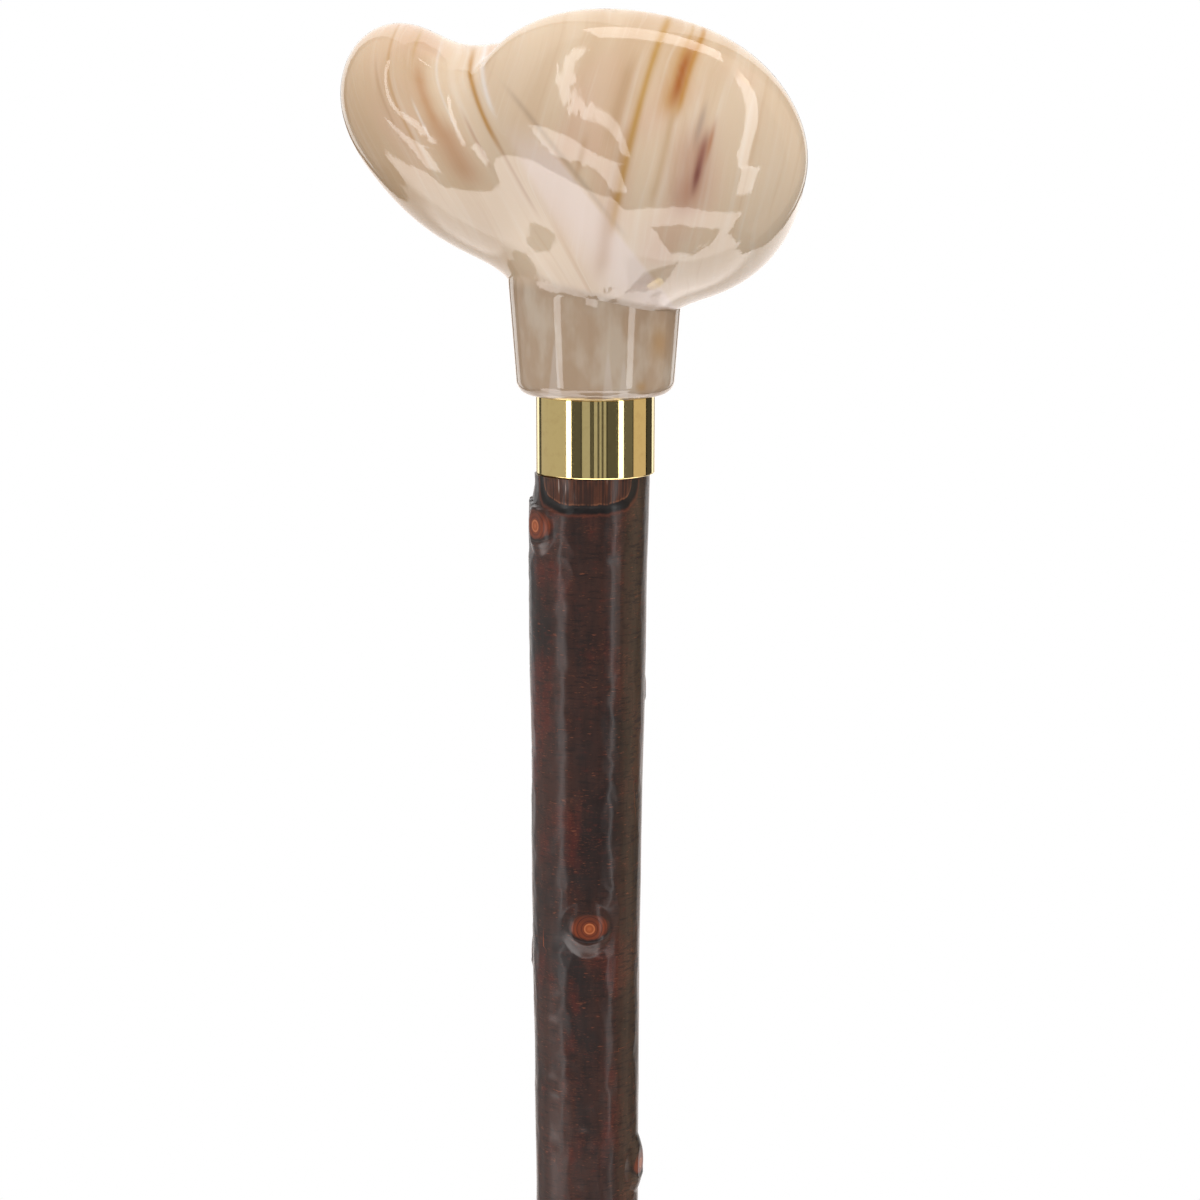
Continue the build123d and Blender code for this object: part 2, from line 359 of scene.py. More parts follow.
@dataclass(frozen=True)
class MarbledAcrylic(Finish):
    """Cream acrylic with beige streaks and amber veins, polished bright.

    The marbling is written as it is seen from the palm's side: across, and up from the neck's foot.
    A vein whose head is at open_head or above runs on over the crown.
    """

    name: str = "marbled_acrylic"
    origin: Vector = field(default_factory=Vector)
    viewing_distance: float = 600.0
    viewing_slope: float = 0.18
    view_centre: float = 42.4
    nose_bend: tuple[float, float, float] = (64.6, 8.0, 0.6)
    valley_flow: float = -23.6
    crease_top: tuple[float, float] = (-16.9, 59.0)
    crease_slope: float = 0.8
    egg_lean: float = 0.057
    egg_curve: float = 0.00189
    open_head: float = 80.0
    tan: Colour = paint(223, 190, 154)
    cream: Colour = paint(240, 215, 186)
    pale: Colour = paint(248, 232, 214)
    blush: Colour = paint(232, 194, 166)
    amber: Colour = paint(206, 156, 88)
    neck_beige: Colour = paint(196, 168, 141)
    veins: tuple[Vein, ...] = (
        Vein(-0.4, 0.85, 33.0, 90.0, paint(206, 158, 86), 0.9),
        Vein(-1.6, 1.6, 24.0, 52.0, paint(196, 150, 104), 0.5),
        Vein(7.5, 0.65, 56.0, 90.0, paint(204, 148, 70), 0.9),
        Vein(6.6, 0.8, 38.0, 57.0, paint(208, 172, 128), 0.5),
        Vein(5.1, 0.45, 66.0, 90.0, paint(206, 164, 100), 0.5),
        Vein(5.9, 2.7, 56.0, 70.0, paint(212, 160, 96), 0.85),
        Vein(6.2, 1.1, 58.0, 67.5, paint(180, 102, 46), 0.85),
        Vein(-4.5, 1.3, 51.0, 66.0, paint(200, 158, 118), 0.5),
        Vein(-9.6, 0.8, 44.0, 50.0, paint(196, 150, 104), 0.55),
        Vein(12.8, 4.0, 37.0, 52.0, paint(206, 164, 138), 0.75, 6.0),
        Vein(13.0, 2.6, 36.5, 42.5, paint(198, 146, 120), 0.6),
        Vein(14.3, 1.0, 41.0, 51.0, paint(160, 98, 80), 0.85),
        Vein(14.2, 0.5, 41.0, 46.0, paint(130, 80, 74), 0.7),
        Vein(15.4, 0.45, 47.0, 53.0, paint(196, 132, 92), 0.7),
        Vein(12.6, 0.7, 50.0, 56.5, paint(156, 132, 124), 0.45),
    )
    nose_veins_and_painted_highlight: tuple[Vein, ...] = (
        Vein(-43.4, 0.3, 50.0, 66.0, paint(196, 158, 124), 0.35),
        Vein(-41.1, 0.35, 46.0, 74.0, paint(204, 158, 104), 0.5),
        Vein(-36.2, 0.4, 67.0, 73.0, paint(212, 174, 122), 0.6),
        Vein(-35.0, 1.1, 52.5, 65.0, paint(206, 152, 106), 0.65),
        Vein(-34.2, 2.7, 42.5, 54.0, paint(204, 154, 116), 0.7),
        Vein(-37.6, 0.3, 51.0, 58.0, paint(248, 234, 222), 0.6, 2.0),
        Vein(-31.4, 0.3, 52.0, 70.0, paint(246, 232, 220), 0.5),
        Vein(-28.6, 0.4, 46.0, 55.0, paint(196, 150, 118), 0.5),
        Vein(-24.8, 0.55, 50.0, 68.0, paint(198, 144, 70), 0.9),
        Vein(-24.6, 0.4, 37.0, 52.0, paint(200, 160, 124), 0.6),
        # The last, near-white streak along the valley is a painted highlight, not a vein.
        Vein(-22.5, 0.55, 56.0, 70.0, paint(252, 242, 234), 0.7),
    )

    def dress(self, nodes: Nodes) -> None:
        """Marble the acrylic.

        Args:
            nodes: The tree to add nodes to.
        """
        place = x, y, z = nodes.place(self.origin)
        nearness = 1.0 - y / self.viewing_distance
        across = x * nearness
        up = (z + y * self.viewing_slope + self.view_centre) * nearness - self.view_centre
        stir = nodes.noise(place, (0.05, 0.08, 0.03), detail=1.0) - 0.5
        egg = across - up * self.egg_lean - up * up * self.egg_curve
        middle, round_off, slope = self.nose_bend
        bend = up - middle
        arch = (bend * bend + round_off ** 2).call("SQRT") - round_off
        nose = across - arch * slope
        side = nose.rise(self.valley_flow - 0.8, self.valley_flow + 1.6)
        flow = nose + (egg - nose) * side + stir * 4.0
        colour = self._ground(nodes, flow, y, up)
        colour = self._lines(nodes, colour, flow, y, up)
        colour = self._flank_line_and_painted_reflection(nodes, colour, across, nose, up, y)
        front = y.rise(8.0, 0.0)
        for vein in self.veins:
            where = front if vein.head < self.open_head else side
            colour = self._vein(nodes, colour, vein, egg + stir * 1.5, up, where)
        for vein in self.nose_veins_and_painted_highlight:
            colour = self._vein(nodes, colour, vein, nose + stir * 1.2, up, y.rise(14.0, 6.0))
        colour = self._neck(nodes, colour, place)
        gloss = nodes.noise(place, (0.6, 0.6, 0.6), detail=3.0)
        nodes.surface({"IOR": 1.5, "Subsurface Weight": 0.12, "Subsurface Scale": 0.002,
                       "Subsurface Radius": (1.0, 0.72, 0.5), "Specular IOR Level": 0.5},
                      Base_Color=colour, Roughness=0.035 + gloss * 0.03)

    def _ground(self, nodes: Nodes, flow: Signal, y: Signal, up: Signal) -> bpy.types.NodeSocket:
        """Return the cream ground with its broad and fine streaks.

        Args:
            nodes: The tree to add nodes to.
            flow: How far across the streaks a point is.
            y: The place along Y.
            up: How far up a point is seen.

        Returns:
            The colour.
        """
        broad = nodes.noise((flow, y, up), (0.09, 0.025, 0.014), detail=1.0)
        cloud = nodes.noise((flow, y, up), (0.05, 0.04, 0.035), shift=(4.0, 0.0, 0.0))
        fine = nodes.noise((flow, y, up), (0.6, 0.05, 0.022))
        hair = nodes.noise((flow, y, up), (2.2, 0.12, 0.05), detail=1.0)
        return nodes.layers(
            self.tan, (self.cream, broad.rise(0.25, 0.72)), (self.blush, cloud.rise(0.48, 0.7) * 0.7),
            (self.pale, fine.rise(0.5, 0.8) * 0.4), (self.tan, fine.rise(0.46, 0.25) * 0.4),
            (self.pale, hair.rise(0.56, 0.8) * 0.15))

    def _lines(self, nodes: Nodes, colour: bpy.types.NodeSocket, flow: Signal, y: Signal, up: Signal
               ) -> bpy.types.NodeSocket:
        """Return the colour with thin amber lines, most of them on the far side.

        Args:
            nodes: The tree to add nodes to.
            colour: The colour so far.
            flow: How far across the streaks a point is.
            y: The place along Y.
            up: How far up a point is seen.

        Returns:
            The colour.
        """
        drift = nodes.noise((flow, y, up), (0.19, 0.04, 0.02), shift=(0.0, 7.0, 0.0))
        line = abs(drift - 0.5).rise(0.016, 0.0)
        return nodes.mix(colour, self.amber, line * y.rise(2.0, 12.0) * 0.4)

    def _flank_line_and_painted_reflection(self, nodes: Nodes, colour: bpy.types.NodeSocket, across: Signal, nose: Signal,
               up: Signal, y: Signal) -> bpy.types.NodeSocket:
        """Return the colour with a painted reflection of the bright floor on the flank below the palm
        swell, and the line along its top.

        Args:
            nodes: The tree to add nodes to.
            colour: The colour so far.
            across: How far across a point is seen.
            nose: How far across the streaks of the nose a point is.
            up: How far up a point is seen.
            y: The place along Y.

        Returns:
            The colour.
        """
        top_x, top_z = self.crease_top
        over = across - top_x + (up - top_z) * self.crease_slope
        front = y.rise(6.0, 0.0) * nose.rise(self.valley_flow, self.valley_flow + 3.0)
        line = over.bell(0.8, 0.7) * up.rise(63.0, 57.0) * up.rise(30.0, 35.0)
        # The pale flank is a painted reflection of the bright floor below.
        pale = over.rise(0.5, -1.0) * over.rise(-17.0, -4.0) * up.rise(56.0, 44.0) * front
        return nodes.layers(colour, (paint(178, 150, 126), line * front * 0.4),
                            (paint(250, 228, 216), pale * 0.75))

    def _vein(self, nodes: Nodes, colour: bpy.types.NodeSocket, vein: Vein, flow: Signal, up: Signal,
              where: Signal) -> bpy.types.NodeSocket:
        """Return the colour with one vein laid into it.

        Args:
            nodes: The tree to add nodes to.
            colour: The colour so far.
            vein: The vein.
            flow: How far across the streaks a point is.
            up: How far up a point is seen.
            where: 1 where the vein may show.

        Returns:
            The colour.
        """
        length = up.rise(vein.foot - vein.soft, vein.foot + vein.soft)
        if vein.head < self.open_head:
            length = length * up.rise(vein.head + vein.soft, vein.head - vein.soft)
        return nodes.mix(colour, vein.colour, flow.bell(vein.flow, vein.width) * length * where
                         * vein.strength)

    def _neck(self, nodes: Nodes, colour: bpy.types.NodeSocket, place: Place) -> bpy.types.NodeSocket:
        """Return the colour with the neck's greyer ground, pale wedges and amber smudges.

        Args:
            nodes: The tree to add nodes to.
            colour: The colour so far.
            place: The place along X, Y and Z.

        Returns:
            The colour.
        """
        x, y, z = place
        reach = (x * x + y * y).call("SQRT")
        neck = z.rise(25.0, 21.0) * reach.rise(19.0, 17.8)
        cloud = nodes.noise(place, (0.16, 0.16, 0.08), detail=3.0)
        ground = nodes.mix(self.neck_beige, paint(212, 192, 170), cloud.rise(0.42, 0.66))
        for centre, head in ((2.5, 11.0), (5.6, 9.5), (-8.0, 13.0)):
            wedge = (abs(x - centre) - (head - z).most(0.0) * 0.1).rise(0.3, -0.2)
            ground = nodes.mix(ground, paint(222, 206, 192), wedge * z.rise(head, head - 3.0) * 0.5)
        smudge = x.bell(12.6, 1.6) * z.bell(11.5, 3.4) + x.bell(9.0, 1.0) * z.bell(2.6, 1.2)
        ground = nodes.mix(ground, paint(194, 146, 84), smudge * y.rise(0.0, -4.0) * 0.6)
        return nodes.mix(colour, ground, neck)


@dataclass(frozen=True)
class PolishedBrass(Finish):
    """Lacquered brass with a mirror polish and faint clouding."""

    name: str = "polished_brass"
    metal: Colour = (0.93, 0.74, 0.33, 1.0)
    dull_metal: Colour = (0.80, 0.60, 0.26, 1.0)

    def dress(self, nodes: Nodes) -> None:
        """Polish the brass.

        Args:
            nodes: The tree to add nodes to.
        """
        place = nodes.place(Vector())
        cloud = nodes.noise(place, (0.5, 0.5, 0.5), detail=4.0, roughness=0.65)
        wipe = nodes.noise(place, (3.0, 3.0, 0.25))
        tarnish = nodes.mix(self.metal, self.dull_metal, cloud.rise(0.45, 0.75) * 0.5)
        nodes.surface({"Metallic": 1.0}, Base_Color=tarnish,
                      Roughness=0.035 + cloud * 0.05 + wipe * 0.02)


@dataclass(frozen=True)
class VarnishedBark(Finish):
    """Dark red-brown bark under satin varnish, with pruned knots and a pared end.

    The mesh holds two attributes. "knot" is the place from the nearest knot's centre, across and up,
    in millimetres, with that knot's size. "pared" is how far inside the pared patch a point is.
    """

    name: str = "bark_on_wood"
    origin: Vector = field(default_factory=Vector)
    dark: Colour = paint(34, 22, 20)
    brown: Colour = paint(64, 38, 30)
    red: Colour = paint(92, 36, 26)
    olive: Colour = paint(80, 62, 42)
    lenticel: Colour = paint(140, 78, 52)
    face: Colour = paint(134, 60, 30)
    heart: Colour = paint(186, 98, 52)

    def dress(self, nodes: Nodes) -> None:
        """Grow the bark, then cut it.

        Args:
            nodes: The tree to add nodes to.
        """
        place = nodes.place(self.origin)
        colour, relief = self._bark(nodes, place)
        knot = nodes.add("ShaderNodeAttribute", {"attribute_name": "knot"}).outputs["Vector"]
        colour = self._knots(nodes, colour, *nodes.split(knot))
        pared = nodes.add("ShaderNodeAttribute", {"attribute_name": "pared"}).outputs["Fac"]
        colour = self._paring(nodes, colour, Signal(nodes, pared), place)
        bare = nodes.add("ShaderNodeAttribute", {"attribute_name": "turned"}).outputs["Fac"]
        grain = nodes.noise(place, (1.4, 1.4, 0.05), detail=3.0)
        wood = nodes.mix(paint(176, 132, 88), paint(204, 168, 122), grain.rise(0.35, 0.65))
        colour = nodes.mix(colour, wood, Signal(nodes, bare))
        nodes.surface({"Coat Roughness": 0.27, "Coat IOR": 1.42, "Specular IOR Level": 0.12},
                      Base_Color=colour, Roughness=0.45 + relief * 0.2,
                      Coat_Weight=0.85 - Signal(nodes, bare) * 0.8,
                      Normal=nodes.bump(relief, 0.05))

    def _bark(self, nodes: Nodes, place: Place) -> tuple[bpy.types.NodeSocket, Signal]:
        """Return the bark's colour and its fine relief.

        Args:
            nodes: The tree to add nodes to.
            place: The place along X, Y and Z.

        Returns:
            The colour, and the relief from 0 to 1.
        """
        patch = nodes.noise(place, (0.09, 0.09, 0.04), detail=4.0, roughness=0.6)
        tint = nodes.noise(place, (0.13, 0.13, 0.07), detail=3.0, shift=(9.0, 0.0, 0.0))
        streak = nodes.noise(place, (0.3, 0.3, 1.7), detail=4.0, roughness=0.65)
        mottle = nodes.noise(place, (0.8, 0.8, 0.9), detail=3.0)
        fleck = nodes.noise(place, (0.55, 0.55, 2.6), shift=(3.0, 0.0, 0.0))
        fibre = nodes.noise(place, (1.8, 1.8, 0.16))
        speck = nodes.noise(place, (1.3, 1.3, 5.5))
        grit = nodes.noise(place, (3.4, 3.4, 3.4), roughness=0.7)
        # The +X side, to the camera's right, is tinted olive.
        olive_side = place[0].rise(2.0, 9.0) * (0.45 + tint * 0.8)
        colour = nodes.layers(
            self.dark, (self.brown, patch.rise(0.36, 0.6)), (self.red, tint.rise(0.5, 0.68) * 0.7),
            (self.olive, olive_side.least(1.0) * 0.75), (self.dark, streak.rise(0.5, 0.34) * 0.75),
            (self.red, (streak * 0.6 + mottle * 0.4).rise(0.54, 0.7) * 0.6),
            (self.lenticel, (fleck * 0.8 + mottle * 0.2).rise(0.62, 0.72) * 0.7),
            (self.lenticel, speck.rise(0.58, 0.7) * tint.rise(0.4, 0.6) * 0.4),
            (self.dark, (fibre * 0.5 + grit * 0.5).rise(0.5, 0.3) * 0.6))
        return colour, streak * 0.4 + mottle * 0.25 + fibre * 0.15 + grit * 0.2

    def _knots(self, nodes: Nodes, colour: bpy.types.NodeSocket, across: Signal, up: Signal,
               size: Signal) -> bpy.types.NodeSocket:
        """Return the colour with the cut faces of the knots, a painted highlight on their lower lips and
        a dark ring below, partly painted shade under the lip.

        Args:
            nodes: The tree to add nodes to.
            colour: The colour so far.
            across: The place across from the nearest knot.
            up: The place up from the nearest knot.
            size: The knot's size.

        Returns:
            The colour.
        """
        across, up = across / size, up / size
        reach = (across * across + up * up).call("SQRT")
        surround = (across * across * 0.056 + (up - 0.3) * (up - 0.3) * 0.13).call("SQRT")
        wobble = nodes.noise((across, up, 0.0), (0.5, 0.5, 1.0)) * 0.3
        edge = surround + wobble - 0.15
        rings = nodes.noise((reach, 0.0, 0.0), (2.2, 1.0, 1.0), detail=1.0)
        face = nodes.mix(self.face, paint(92, 40, 22), rings.rise(0.42, 0.62))
        heart = nodes.mix(self.heart, paint(160, 76, 36), rings.rise(0.4, 0.6))
        # The grey on the lower lip is a painted highlight; the dark ring below the face is partly painted
        # shade under the lip.
        lip = surround.bell(1.14, 0.045) * up.rise(-0.6, -2.4)
        return nodes.layers(
            colour, (paint(26, 20, 20), edge.rise(1.3, 1.05) * up.rise(2.0, -1.5) * 0.75),
            (face, edge.rise(1.04, 0.8) * (0.6 + up.rise(2.4, 0.4) * 0.4)),
            (paint(96, 84, 80), lip * 0.3), (heart, reach.rise(1.25, 1.1)),
            (paint(208, 130, 82), reach.bell(0.95, 0.12) * 0.5))

    def _paring(self, nodes: Nodes, colour: bpy.types.NodeSocket, pared: Signal, place: Place
                ) -> bpy.types.NodeSocket:
        """Return the colour with the pared patch below the collar, and a painted shadow of the groove
        along its edge.

        Args:
            nodes: The tree to add nodes to.
            colour: The colour so far.
            pared: How far inside the pared patch a point is.
            place: The place along X, Y and Z.

        Returns:
            The colour.
        """
        scratch = nodes.noise(place, (2.4, 2.4, 0.05), detail=1.0)
        wander = (nodes.noise(place, (0.4, 0.4, 0.0)) - 0.5) * 1.6
        inside = pared + wander * 0.9
        bare = nodes.layers(
            paint(58, 34, 26), (paint(92, 52, 34), scratch.rise(0.4, 0.6)),
            (paint(178, 160, 150), scratch.rise(0.66, 0.72) * inside.rise(1.5, 3.5)))
        # The near-black band along the edge is a painted shadow of the groove.
        return nodes.layers(
            colour, (paint(15, 12, 12), inside.rise(-2.3, -1.7) * 0.95),
            (paint(128, 60, 34), inside.bell(-2.2, 0.3) * 0.35), (bare, inside.rise(-0.3, 0.1)),
            (paint(150, 92, 60), inside.bell(0.0, 0.16) * scratch.rise(0.3, 0.6) * 0.7))


@dataclass(frozen=True)
class ZincSteel(Finish):
    """Zinc-plated steel, bright but not polished."""

    name: str = "zinc_steel"

    def dress(self, nodes: Nodes) -> None:
        """Plate the steel.

        Args:
            nodes: The tree to add nodes to.
        """
        place = nodes.place(Vector())
        spangle = nodes.noise(place, (0.9, 0.9, 0.9), detail=4.0)
        colour = nodes.ramp(spangle, ((0.3, paint(150, 154, 158)), (0.7, paint(198, 201, 204))))
        nodes.surface({"Metallic": 1.0}, Base_Color=colour, Roughness=0.24 + spangle * 0.2,
                      Normal=nodes.bump(spangle, 0.02))


@dataclass(frozen=True)
class BlackRubber(Finish):
    """Moulded black rubber, dull, with pale dust on its sole."""

    name: str = "black_rubber"
    dusty_height: float = 3.0

    def dress(self, nodes: Nodes) -> None:
        """Mould the rubber.

        Args:
            nodes: The tree to add nodes to.
        """
        place = nodes.place(Vector())
        pebble = nodes.noise(place, (3.0, 3.0, 3.0), detail=3.0)
        bloom = nodes.noise(place, (0.14, 0.14, 0.14), detail=4.0, roughness=0.6)
        colour = nodes.mix(paint(24, 24, 25), paint(48, 47, 46), bloom.rise(0.4, 0.7))
        dust = place[2].rise(self.dusty_height, 0.0) * bloom.rise(0.35, 0.6)
        colour = nodes.mix(colour, paint(120, 114, 106), dust * 0.4)
        nodes.surface({"Specular IOR Level": 0.35}, Base_Color=colour,
                      Roughness=0.55 + bloom * 0.2, Normal=nodes.bump(pebble, 0.03))


class Workpiece:
    """One piece on the bench, shaped by edit-mode moves and applied modifiers."""

    def __init__(self, piece: bpy.types.Object) -> None:
        """Put a piece on the bench."""
        self.piece = piece

    @staticmethod
    def clear() -> None:
        """Leave edit mode and deselect everything."""
        if bpy.context.mode != "OBJECT":
            bpy.ops.object.mode_set(mode="OBJECT")
        bpy.ops.object.select_all(action="DESELECT")

    @classmethod
    def turned(cls, name: str, radius: float, foot: float, head: float, sides: int,
               fill: str = "NGON") -> Workpiece:
        """Start a piece from an upright cylinder on the shaft's axis.

        Args:
            name: The piece's name.
            radius: The cylinder's radius.
            foot: The height of its lower end.
            head: The height of its upper end.
            sides: How many sides it has.
            fill: How its ends are closed.

        Returns:
            The piece on the bench.
        """
        cls.clear()
        bpy.ops.mesh.primitive_cylinder_add(vertices=sides, radius=radius, depth=head - foot,
                                            end_fill_type=fill, location=(0, 0, (head + foot) / 2))
        bpy.ops.object.transform_apply(location=True, rotation=True, scale=True)
        piece = bpy.context.object
        piece.name = name
        piece.data.name = name
        return cls(piece)

    @classmethod
    def copied(cls, name: str, node: str) -> Workpiece:
        """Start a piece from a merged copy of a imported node.

        Args:
            name: The piece's name.
            node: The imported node.

        Returns:
            The piece on the bench.
        """
        cls.clear()
        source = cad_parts[node]
        piece = bpy.data.objects.new(name, source.data.copy())
        piece.data.name = name
        piece.data.materials.clear()
        bpy.context.scene.collection.objects.link(piece)
        work = cls(piece)
        work.activate()
        if piece.data.has_custom_normals:
            bpy.ops.mesh.customdata_custom_splitnormals_clear()
        with work.edit(Pick.FACES):
            bpy.ops.mesh.select_all(action="SELECT")
            bpy.ops.mesh.remove_doubles(threshold=0.002 * MM)
        return work

    def activate(self) -> None:
        """Make the piece the only selected and active one."""
        self.clear()
        self.piece.select_set(True)
        bpy.context.view_layer.objects.active = self.piece

    @contextmanager
    def edit(self, kind: Pick) -> Iterator[None]:
        """Open the piece in edit mode with nothing selected, and close it again.

        Args:
            kind: What will be selected.
        """
        self.activate()
        bpy.ops.object.mode_set(mode="EDIT")
        bpy.ops.mesh.select_mode(type=kind.value)
        bpy.ops.mesh.select_all(action="DESELECT")
        yield
        bpy.ops.object.mode_set(mode="OBJECT")

    def pick(self, kind: Pick, test: Test) -> None:
        """Select faces or edges in edit mode.

        Args:
            kind: What to select.
            test: Says yes for the centre and the direction of a face or edge to select.
        """
        mesh = bmesh.from_edit_mesh(self.piece.data)
        if kind is Pick.FACES:
            for face in mesh.faces:
                face.select_set(test(face.calc_center_median(), face.normal))
        else:
            for edge in mesh.edges:
                low, high = edge.verts[0].co, edge.verts[1].co
                edge.select_set(test((low + high) / 2, (high - low).normalized()))
        mesh.select_flush_mode()
        bmesh.update_edit_mesh(self.piece.data)

    def modify(self, kind: str, **settings: object) -> None:
        """Add a modifier, set it and apply it.

        Args:
            kind: The modifier's type.
            settings: Its properties.
        """
        self.activate()
        modifier = self.piece.modifiers.new(kind.lower(), kind)
        for name, value in settings.items():
            setattr(modifier, name, value)
        bpy.ops.object.modifier_apply(modifier=modifier.name)

    def weigh(self, name: str, weight: Callable[[Vector], float]) -> str:
        """Give each point a weight for a modifier to follow.

        Args:
            name: The vertex group's name.
            weight: Returns a point's weight, from 0 to 1.

        Returns:
            The vertex group's name.
        """
        group = self.piece.vertex_groups.new(name=name)
        for vertex in self.piece.data.vertices:
            value = weight(vertex.co)
            if value > 0.002:
                group.add([vertex.index], value, "REPLACE")
        return name

    def note(self, name: str, kind: Note, value: Callable[[Vector], object]) -> None:
        """Keep a number or vector for each point, for a material to read.

        Args:
            name: The attribute's name.
            kind: What is kept.
            value: Returns a point's number or vector.
        """
        attribute = self.piece.data.attributes.new(name, kind.value, "POINT")
        key = "value" if kind is Note.NUMBER else "vector"
        for vertex, entry in zip(self.piece.data.vertices, attribute.data):
            setattr(entry, key, value(vertex.co))

    def smooth(self, angle: float) -> None:
        """Shade the piece smooth, except across edges sharper than an angle in degrees."""
        self.activate()
        bpy.ops.object.shade_smooth_by_angle(angle=math.radians(angle))

    def finish(self, finish: Finish, body: Body, slot: Slot, *nodes: str) -> bpy.types.Object:
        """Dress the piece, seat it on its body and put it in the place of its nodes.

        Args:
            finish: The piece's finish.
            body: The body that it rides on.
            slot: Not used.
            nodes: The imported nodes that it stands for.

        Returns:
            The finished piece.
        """
        self.clear()
        self.piece.vertex_groups.clear()
        self.piece.data.materials.append(finish.material())
        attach(self.piece, body.value)
        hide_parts(*nodes)
        LOG.info("%s: %d faces, stands for %s", self.piece.name, len(self.piece.data.polygons),
                 ", ".join(nodes))
        return self.piece


@dataclass(frozen=True)
class Lobe:
    """An ellipsoid of the grip: centre from the neck's foot, half axes, slope down to the heel, yaw."""

    centre: Vector
    half: tuple[float, float, float]
    slope: float = 0.0
    yaw: float = 0.0

    def distance(self, point: Vector) -> float:
        """Return the rough distance from the lobe's surface to a point, negative inside.

        Args:
            point: The point, in millimetres from the neck's foot.

        Returns:
            The distance in millimetres.
        """
        offset = point - self.centre
        cosine, sine = math.cos(math.radians(self.slope)), math.sin(math.radians(self.slope))
        along, up = cosine * offset.x - sine * offset.z, sine * offset.x + cosine * offset.z
        cosine, sine = math.cos(math.radians(self.yaw)), math.sin(math.radians(self.yaw))
        local = (cosine * along + sine * offset.y, cosine * offset.y - sine * along, up)
        scaled = [value / size for value, size in zip(local, self.half)]
        radius = math.hypot(*scaled)
        steepness = math.hypot(*(value / size for value, size in zip(scaled, self.half)))
        return radius * (radius - 1.0) / max(steepness, 1e-9)


@dataclass
class Grip:
    """The acrylic grip with its neck. Sizes are millimetres from the neck's foot."""

    crease: float = 38.0
    lobes: tuple[Lobe, ...] = (
        Lobe(Vector((8.5, -16.5, 53.2)), (32.5, 13.5, 21.5), 18.0, -9.0),
        Lobe(Vector((17.4, -6.5, 45.5)), (23.5, 27.5, 25.5), -9.0, -11.0),
        Lobe(Vector((-38.5, 5.0, 59.5)), (12.0, 13.5, 14.0), -12.0),
        Lobe(Vector((-21.0, 3.5, 46.0)), (27.0, 19.0, 18.0), 30.0, -3.0),
        Lobe(Vector((1.5, -0.5, 31.5)), (19.5, 20.5, 19.0), 20.0),
        Lobe(Vector((-14.0, 4.5, 58.5)), (15.5, 11.0, 11.0), -4.0))
    blend: float = 3.0
    neck_foot_radius: float = 15.8
    neck_top_radius: float = 17.7
    neck_height: float = 25.0
    neck_margin: tuple[float, float] = (1.0, 0.1)
    polish: float = 1.5
    foot: float = field(init=False)

    def build(self) -> bpy.types.Object:
        """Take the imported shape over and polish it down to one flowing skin.

        Returns:
            The finished grip.
        """
        low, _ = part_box("handle")
        self.foot = low.z
        work = Workpiece.copied("grip", "handle")
        for name, sign in (("proud", 1.0), ("shy", -1.0)):
            group = work.weigh(name, lambda place, sign=sign: self._off_skin(place) * sign / self.polish)
            work.modify("DISPLACE", vertex_group=group, strength=-sign * self.polish * MM, mid_level=0.0)
        work.smooth(self.crease)
        finish = MarbledAcrylic(origin=Vector((0.0, 0.0, low.z)))
        return work.finish(finish, Body.STICK, Slot.ACRYLIC, "handle")

    def _off_skin(self, place: Vector) -> float:
        """Return how far a point of the lobes stands proud of their blended skin, in millimetres.

        Args:
            place: The point.

        Returns:
            The height, or 0 on the neck and where it is past the polish.
        """
        point = Vector((place.x / MM, place.y / MM, (place.z - self.foot) / MM))
        cone = self.neck_foot_radius + (self.neck_top_radius - self.neck_foot_radius) \
            * point.z / self.neck_height
        above, outside = self.neck_margin
        if point.z < self.neck_height + above and point.xy.length < cone + outside:
            return 0.0
        depths = [lobe.distance(point) for lobe in self.lobes]
        nearest = min(depths)
        spread = sum(math.exp((nearest - depth) / self.blend) for depth in depths)
        off = nearest - self.blend * math.log(spread)
        return off if abs(off) < self.polish else 0.0


@dataclass
class Collar:
    """The brass sleeve between the neck and the bark."""

    sides: int = 160
    wall: float = 0.65 * MM
    bevel: float = 0.28 * MM
    crease: float = 12.0

    def build(self) -> bpy.types.Object:
        """Turn the sleeve, give it its wall and round its rims.

        Returns:
            The finished collar.
        """
        low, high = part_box("collar")
        radius = (high.x - low.x) / 2
        work = Workpiece.turned("brass_collar", radius, low.z, high.z, self.sides, fill="NOTHING")
        work.modify("SOLIDIFY", thickness=self.wall, offset=-1.0, use_even_offset=True)
        work.modify("BEVEL", width=self.bevel, segments=3, limit_method="ANGLE",
                    angle_limit=math.radians(50))
        work.smooth(self.crease)
        return work.finish(PolishedBrass(), Body.STICK, Slot.BRASS, "collar")


@dataclass(frozen=True)
class Knot:
    """A pruned branch: distance below the neck's foot, direction from +X and size of its cut face."""

    below: float
    way: float
    size: float = 1.0


@dataclass(frozen=True)
class Scallop:
    """A knife's cut below the collar: direction from +X, half its spread, and its length."""

    way: float
    spread: float
    length: float


